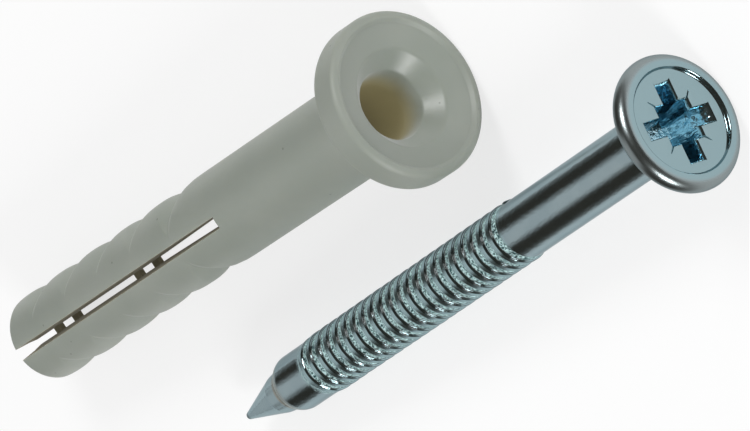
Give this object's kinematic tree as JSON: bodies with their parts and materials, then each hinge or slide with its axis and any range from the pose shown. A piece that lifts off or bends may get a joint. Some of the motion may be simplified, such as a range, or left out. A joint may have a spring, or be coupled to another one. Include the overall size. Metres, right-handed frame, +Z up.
{
  "type": "nail plug",
  "caption": "Hammer-in wall plug: a slotted sleeve with a wide dished flange and wave ribs, and the drive screw that spreads it, lying side by side.",
  "frame": {"origin": "bottom centre of the box round both pieces, on the surface they lie on", "axes": "+X from the ends that enter the wall towards the heads, +Z up, the screw on the -Y side"},
  "size_m": [0.0806, 0.0264, 0.0145],
  "materials": {
    "nylon": "moulded grey nylon, satin",
    "zinc_plated_steel": "bright zinc plating with a pale blue passivation"
  },
  "bodies": {
    "root": {"plug_sleeve": "nylon", "drive_screw": "zinc_plated_steel"}
  },
  "joints": []
}
